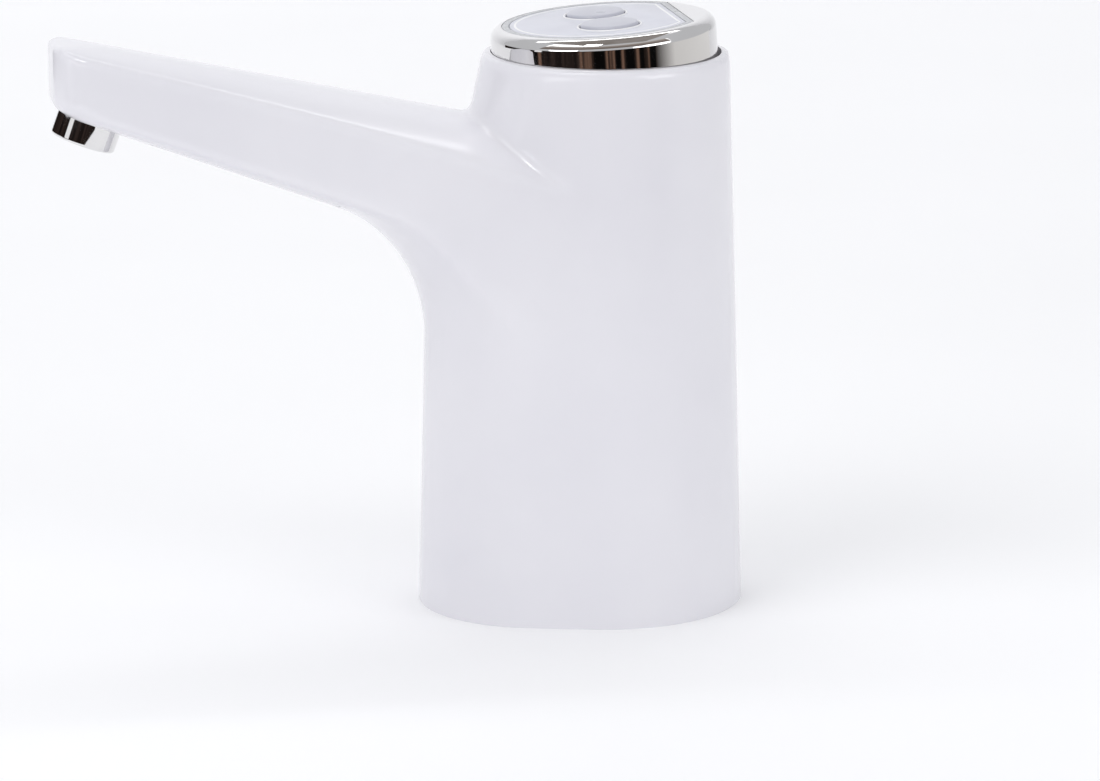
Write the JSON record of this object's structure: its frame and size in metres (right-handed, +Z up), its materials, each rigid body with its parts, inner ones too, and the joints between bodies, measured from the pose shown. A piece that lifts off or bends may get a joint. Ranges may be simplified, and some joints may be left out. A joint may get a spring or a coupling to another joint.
{
  "type": "water jug pump",
  "caption": "Electric water jug pump: a white spouted body that sits on a bottle's neck, with push-buttons in a chromed cap and a diaphragm pump inside.",
  "frame": {"origin": "centre of the neck socket's mouth, in the plane that the pump stands on", "axes": "+Z up along the neck socket, -X the way the spout points, the object is the same on both sides of y = 0 but for its hose"},
  "size_m": [0.1686, 0.0678, 0.1453],
  "materials": {
    "white_abs": "glossy white moulded shell",
    "inner_abs": "plain white moulding",
    "chrome_plate": "polished chrome plate",
    "aerator_plastic": "pale grey moulding",
    "panel_bezel_grey": "grey gloss bezel",
    "panel_grey": "lilac grey satin panel",
    "button_grey": "pale grey satin buttons",
    "seal_rubber": "black soft rubber",
    "silicone": "milky silicone",
    "pump_plastic": "black moulding",
    "steel": "plain steel",
    "brass": "turned brass",
    "ferrite": "dark ferrite",
    "board_laminate": "green board",
    "cell_sleeve": "blue shrink sleeve",
    "wire_sheath": "soft sheath"
  },
  "bodies": {
    "pump": {"housing": "white_abs", "spout_cover": "white_abs", "base_socket": "inner_abs", "deck": "inner_abs", "suction_spigot": "inner_abs", "pump_cradle": "inner_abs", "valve_plate": "inner_abs", "battery_cradle": "inner_abs", "nozzle_body": "inner_abs", "motor_end_cap": "inner_abs", "ribbon_connector": "inner_abs", "chrome_cap": "chrome_plate", "nozzle_ring": "chrome_plate", "aerator": "aerator_plastic", "panel_bezel": "panel_bezel_grey", "control_panel": "panel_grey", "neck_seal": "seal_rubber", "inlet_oring": "seal_rubber", "pump_damper": "seal_rubber", "nozzle_seal": "seal_rubber", "outlet_valve": "silicone", "inlet_valves": "silicone", "diaphragm": "silicone", "outlet_hose": "silicone", "pump_cover": "pump_plastic", "pump_body": "pump_plastic", "charge_tongue": "pump_plastic", "base_screws": "steel", "pump_screws": "steel", "motor_can": "steel", "hose_clips": "steel", "board_screws": "steel", "charge_port": "steel", "battery_tabs": "steel", "left_switch": "steel", "right_switch": "steel", "motor_bushes": "brass", "motor_terminals": "brass", "motor_magnets": "ferrite", "charge_board": "board_laminate", "panel_board": "board_laminate", "battery_cell": "cell_sleeve", "motor_leads": "wire_sheath", "battery_leads": "wire_sheath", "panel_ribbon": "wire_sheath"},
    "left_button": {"left_button": "button_grey", "left_plunger": "pump_plastic"},
    "right_button": {"right_button": "button_grey", "right_plunger": "pump_plastic"},
    "rotor": {"motor_shaft": "steel", "armature": "steel", "eccentric_wheel": "brass", "drive_pin": "steel"},
    "wobble": {"wobble_plate": "inner_abs"}
  },
  "joints": [
    {"name": "left_press", "type": "slide", "parent": "pump", "child": "left_button", "axis": [0.0698, 0, -0.9976], "range_m": [0, 0.0005], "stiffness_N_per_m": 800, "springref_m": -0.0005},
    {"name": "right_press", "type": "slide", "parent": "pump", "child": "right_button", "axis": [0.0698, 0, -0.9976], "range_m": [0, 0.0005], "stiffness_N_per_m": 800, "springref_m": -0.0005},
    {"name": "rotor_spin", "type": "hinge", "parent": "pump", "child": "rotor", "pos_m": [0, 0, 0.0955], "axis": [0, 0, 1], "continuous": true},
    {"name": "wobble_turn", "type": "hinge", "parent": "rotor", "child": "wobble", "pos_m": [0, 0, 0.06599], "axis": [0.0872, 0, 0.9962], "continuous": true}
  ],
  "couplings": [
    {"joint": "wobble_turn", "follows": "rotor_spin", "ratio": -1}
  ]
}
